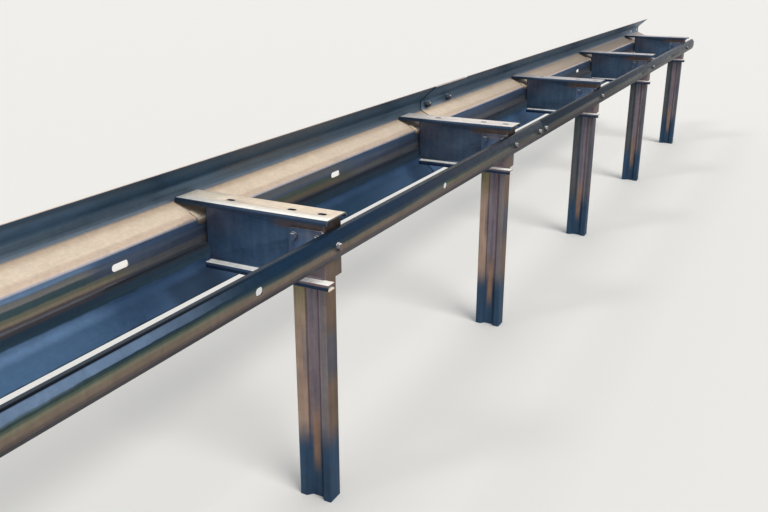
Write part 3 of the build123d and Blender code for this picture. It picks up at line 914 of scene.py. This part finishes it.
lap_places = [(dx, dz) for dx in (-lap_bolt_x, lap_bolt_x) for dz in (-lap_bolt_z, lap_bolt_z)]
for index in (0, 1):
    start = first_joint + index * rail_pitch
    end = start + rail_pitch
    form = rolled(
        "x", (start - half_lap, rail_behind), (start + half_lap, rail_behind),
        (start + half_lap + joggle, rail_plain), (end + half_lap, rail_plain),
    )
    holes = [rail_cut(x, 0, valley_y, valley_slot) for x in [start, end] + free_grid(start)]
    holes += [rail_cut(x + flange_bolt_x, 0, valley_y) for x in post_places if start < x < end]
    holes += [rail_cut(x + dx, dz, peak_y) for x in (start, end) for dx, dz in lap_places]
    rail = piece(f"front_rail_length_{index + 1}", [form], front_rail_zinc, holes, edge=0.5 * mm, angle=45)
    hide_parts(f"front_rail_{index + 1}")
    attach(rail, "root")

# Rail bolts: galvanised M16 bolts with low round heads on the outer side. Four hold each lap on the
# crests of the waves, and one in the valley holds the rail to each bracket's flange.
hexagon_m16 = 24 * mm
nut_m16 = 13 * mm
shank_m16 = 8 * mm
pitch_m16 = 2 * mm
round_head = 17.5 * mm
round_rise = 7 * mm


def round_bolt(grip):
    """Rail bolt with its round head up from zero and its nut below the clamped sheets."""
    slants = [math.radians(10 * k) for k in range(1, 9)]
    dome = [(round_head * math.cos(a), round_rise * math.sin(a) + 1 * mm) for a in slants]
    seat = -grip - 3 * mm
    end = seat - nut_m16
    return [
        turned([(round_head - 1 * mm, 0), (round_head, 0.6 * mm)] + dome),
        turned([(shank_m16, seat - 1 * mm), (shank_m16, 0.5 * mm)], 24), washer(2 * shank_m16, seat, -grip),
        hexagon(hexagon_m16, end, seat), thread(shank_m16, pitch_m16, end - 6 * mm, end + 1 * mm),
    ]


outer_y = peak_y + rail_wall / 2
lap_grip = 2 * rail_wall + sheet_gap
lap_bolts = [aimed(round_bolt(lap_grip), (middle_joint + dx, outer_y, rail_z + dz), (0, 1, 0)) for dx, dz in lap_places]
lap_bolt_set = bolts_piece("lap_bolts", joined(lap_bolts))
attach(lap_bolt_set, "root")
flange_bolt = aimed(round_bolt(rail_wall + bracket_wall), (flange_bolt_x, valley_y + rail_wall / 2, rail_z), (0, 1, 0))
flange_bolt_master = bolts_piece("flange_bolt_master", flange_bolt)
at_each_post(flange_bolt_master, "flange_bolt")

# Floor: plain pale ground of the studio, matt and a little warm. It isn't part of the barrier and only
# takes its shadow.
floor_size = 60
floor_mesh = bpy.data.meshes.new("studio_floor")
corners = [(x * floor_size, y * floor_size, 0) for x, y in ((-1, -1), (1, -1), (1, 1), (-1, 1))]
floor_mesh.from_pydata(corners, [], [(0, 1, 2, 3)])
floor = bpy.data.objects.new("studio_floor", floor_mesh)
bpy.context.scene.collection.objects.link(floor)
floor_paint = bpy.data.materials.new("floor_paint")
floor_paint.use_nodes = True
floor_shader = floor_paint.node_tree.nodes["Principled BSDF"]
floor_shader.inputs["Base Color"].default_value = srgb(238, 237, 234)
floor_shader.inputs["Roughness"].default_value = 0.9
floor_mesh.materials.append(floor_paint)

# Light: a broad soft key from above the rear rail's side, a weaker lamp from the front rail's side, and
# the studio's pale light all round.
world = bpy.data.worlds.new("studio_light")
bpy.context.scene.world = world
world.use_nodes = True
nodes, links = world.node_tree.nodes, world.node_tree.links
soft_light = nodes["Background"]
soft_light.inputs["Color"].default_value = (0.95, 0.97, 1.0, 1)
soft_light.inputs["Strength"].default_value = 0.5
white = nodes.new("ShaderNodeBackground")
white.inputs["Color"].default_value = (1, 1, 1, 1)
white.inputs["Strength"].default_value = 1.0
ray = nodes.new("ShaderNodeLightPath")
seen = nodes.new("ShaderNodeMath")
seen.operation = "MAXIMUM"
links.new(ray.outputs["Is Camera Ray"], seen.inputs[0])
links.new(ray.outputs["Is Glossy Ray"], seen.inputs[1])
seen_through = nodes.new("ShaderNodeMath")
seen_through.operation = "MAXIMUM"
links.new(seen.outputs[0], seen_through.inputs[0])
links.new(ray.outputs["Is Transmission Ray"], seen_through.inputs[1])
blend = nodes.new("ShaderNodeMixShader")
links.new(seen_through.outputs[0], blend.inputs[0])
links.new(soft_light.outputs[0], blend.inputs[1])
links.new(white.outputs[0], blend.inputs[2])
links.new(blend.outputs[0], nodes["World Output"].inputs["Surface"])
for name, energy, spread, way in (("key", 1.7, 30, (-0.35, -0.75, 1.0)), ("back", 0.45, 12, (-0.79, 0.58, 1.0))):
    lamp_data = bpy.data.lights.new(name, "SUN")
    lamp_data.energy = energy
    lamp_data.color = (1.0, 0.97, 0.92)
    lamp_data.angle = math.radians(spread)
    lamp = bpy.data.objects.new(name, lamp_data)
    lamp.rotation_euler = Vector(way).to_track_quat("Z", "Y").to_euler()
    bpy.context.scene.collection.objects.link(lamp)

# Camera: at the photograph's place, beside the first bay near the rear rail and looking along the rails,
# with the photograph's angle of view.
camera_data = bpy.data.cameras.new("camera")
camera_data.sensor_width = 36
camera_data.lens = 39.7
camera_data.clip_end = 200
camera = bpy.data.objects.new("camera", camera_data)
camera.location = (-1.7135, -1.0997, 1.4406)
camera.rotation_euler = (math.radians(70.36), 0, math.radians(-62.51))
bpy.context.scene.collection.objects.link(camera)
bpy.context.scene.camera = camera
bpy.context.scene.view_settings.view_transform = "Standard"
